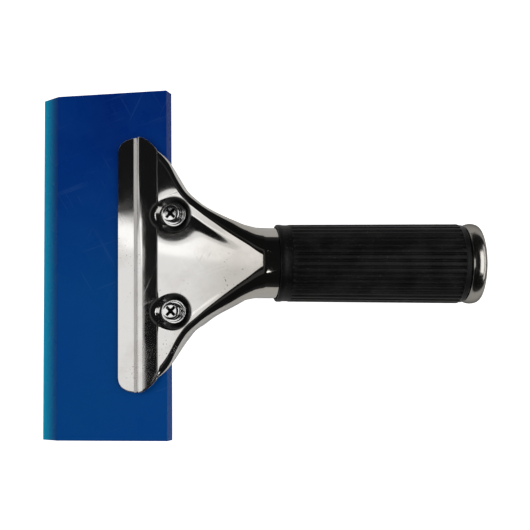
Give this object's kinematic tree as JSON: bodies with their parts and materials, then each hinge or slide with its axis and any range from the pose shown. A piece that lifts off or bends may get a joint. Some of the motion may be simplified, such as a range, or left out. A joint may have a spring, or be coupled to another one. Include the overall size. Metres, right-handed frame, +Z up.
{
  "type": "squeegee applicator",
  "caption": "Hand squeegee: bevelled urethane blade clamped by two screws in a stamped steel jaw that narrows to a tube handle with a ribbed rubber grip.",
  "frame": {"origin": "centre of the footprint at floor level, with the tool lying on its blade's working edge and its handle's end ring", "axes": "+X from the blade towards the handle's end, +Y along the blade, +Z up, away from the surface that the tool lies on"},
  "size_m": [0.1616, 0.127, 0.0346],
  "materials": {
    "blue_urethane": "deep blue translucent cast polyurethane, satin-gloss faces, lighter teal at the thin working edge",
    "polished_steel": "mirror-polished stainless steel sheet with light handling marks",
    "plated_steel": "zinc-plated steel hardware, semi-bright",
    "black_rubber": "moulded black rubber, satin"
  },
  "bodies": {
    "root": {"head": "polished_steel", "grip": "black_rubber", "end_ring": "polished_steel", "flat_washer_left": "plated_steel", "flat_washer_right": "plated_steel", "spring_washer_left": "plated_steel", "spring_washer_right": "plated_steel"},
    "jaw": {"clamp_plate": "polished_steel", "nut_left": "plated_steel", "nut_right": "plated_steel"},
    "screw_left": {"screw_left": "plated_steel"},
    "screw_right": {"screw_right": "plated_steel"},
    "blade": {"blade": "blue_urethane"}
  },
  "joints": [
    {"name": "jaw_open", "type": "slide", "parent": "root", "child": "jaw", "axis": [0.2824, 0, -0.9593], "range_m": [0, 0.0025]},
    {"name": "screw_left_turn", "type": "hinge", "parent": "root", "child": "screw_left", "pos_m": [-0.03154, 0.0174, 0.02286], "axis": [-0.2824, 0, 0.9593], "range_deg": [0, 1290]},
    {"name": "screw_right_turn", "type": "hinge", "parent": "root", "child": "screw_right", "pos_m": [-0.03154, -0.0174, 0.02286], "axis": [-0.2824, 0, 0.9593], "range_deg": [0, 1290]},
    {"name": "blade_slide", "type": "slide", "parent": "root", "child": "blade", "axis": [0, 1, 0], "range_m": [-0.11, 0.11]}
  ],
  "couplings": [
    {"joint": "screw_left_turn", "follows": "jaw_open", "rad_per_m": 8976},
    {"joint": "screw_right_turn", "follows": "jaw_open", "rad_per_m": 8976}
  ]
}
